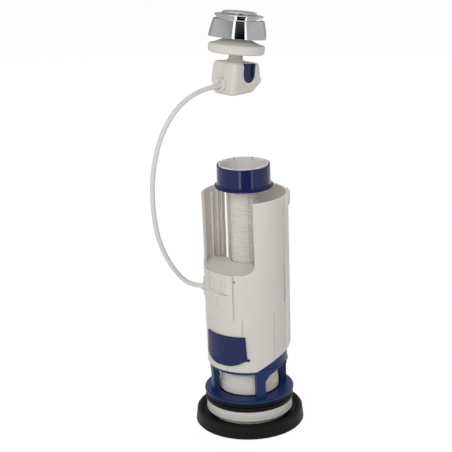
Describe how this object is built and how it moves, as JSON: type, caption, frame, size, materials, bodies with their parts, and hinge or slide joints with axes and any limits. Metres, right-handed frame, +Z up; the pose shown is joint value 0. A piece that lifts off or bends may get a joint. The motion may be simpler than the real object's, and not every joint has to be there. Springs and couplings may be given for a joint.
{
  "type": "toilet flush valve",
  "caption": "Cable-operated dual-flush toilet valve: tapered drum body on a caged flange with rubber seals, overflow tube, and a push-button head on a flexible cable.",
  "frame": {"origin": "centre of the base seal's underside", "axes": "+Z up along the valve's axis, -Y towards the cable bracket and the volume shutter, +X to the right seen from there"},
  "size_m": [0.0972, 0.1386, 0.3714],
  "materials": {
    "white_plastic": "satin moulded white plastic",
    "cable_sleeve": "satin extruded plastic sleeve",
    "navy_plastic": "glossy moulded navy plastic",
    "cage_blue_plastic": "semi-gloss moulded blue plastic",
    "black_rubber": "matt black rubber",
    "chrome_plating": "polished chrome plating",
    "steel": "plain steel"
  },
  "bodies": {
    "valve_frame": {"base_seal": "black_rubber", "back_nut": "white_plastic", "flange_gasket": "black_rubber", "cage_base": "cage_blue_plastic", "valve_body": "white_plastic", "cable_bracket": "white_plastic", "valve_ferrule": "cable_sleeve", "valve_pull_wire": "steel", "lever_pin": "steel", "cable_conduit": "cable_sleeve", "head_ferrule": "cable_sleeve", "head_left_shell": "white_plastic", "head_right_shell": "white_plastic", "head_clip": "navy_plastic", "rocker_pin": "steel", "head_pull_wire": "steel", "threaded_stem": "white_plastic", "clamp_nut": "white_plastic", "button_bezel": "chrome_plating", "full_return_spring": "steel"},
    "shutter": {"flush_shutter": "navy_plastic"},
    "lever": {"lift_lever": "cage_blue_plastic"},
    "valve": {"valve_bell": "white_plastic", "main_seal": "black_rubber", "seal_retainer": "white_plastic", "float_cup": "white_plastic"},
    "riser": {"overflow_riser": "white_plastic", "overflow_collar": "navy_plastic"},
    "full_button": {"full_flush_button": "chrome_plating", "full_push_tube": "white_plastic", "half_return_spring": "steel"},
    "half_button": {"half_flush_button": "chrome_plating", "half_push_pin": "white_plastic"},
    "rocker": {"head_rocker": "cage_blue_plastic"}
  },
  "joints": [
    {"name": "full_press", "type": "slide", "parent": "valve_frame", "child": "full_button", "axis": [0, -0.1564, -0.9877], "range_m": [0, 0.0055], "stiffness_N_per_m": 600, "springref_m": -0.004, "deforming": ["full_return_spring"]},
    {"name": "half_press", "type": "slide", "parent": "full_button", "child": "half_button", "axis": [0, -0.1564, -0.9877], "range_m": [0, 0.003], "stiffness_N_per_m": 400, "springref_m": -0.003, "deforming": ["half_return_spring"]},
    {"name": "rocker_turn", "type": "hinge", "parent": "valve_frame", "child": "rocker", "pos_m": [0, 0.00048, 0.31567], "axis": [1, 0, 0], "range_deg": [0, 40.3], "deforming": ["head_pull_wire"]},
    {"name": "lever_turn", "type": "hinge", "parent": "valve_frame", "child": "lever", "pos_m": [-0.01492, -0.02487, 0.116], "axis": [0.8575, -0.5145, 0], "range_deg": [0, 32], "deforming": ["valve_pull_wire"]},
    {"name": "valve_lift", "type": "slide", "parent": "valve_frame", "child": "valve", "axis": [0, 0, 1], "range_m": [0, 0.008]},
    {"name": "overflow_height", "type": "slide", "parent": "valve", "child": "riser", "axis": [0, 0, 1], "range_m": [0, 0.03]},
    {"name": "shutter_slide", "type": "slide", "parent": "valve_frame", "child": "shutter", "axis": [0, 0, 1], "range_m": [0, 0.012]}
  ],
  "couplings": [
    {"joint": "rocker_turn", "follows": "full_press", "rad_per_m": 127.89},
    {"joint": "lever_turn", "follows": "full_press", "rad_per_m": 101.55},
    {"joint": "valve_lift", "follows": "full_press", "ratio": 1.4545}
  ]
}
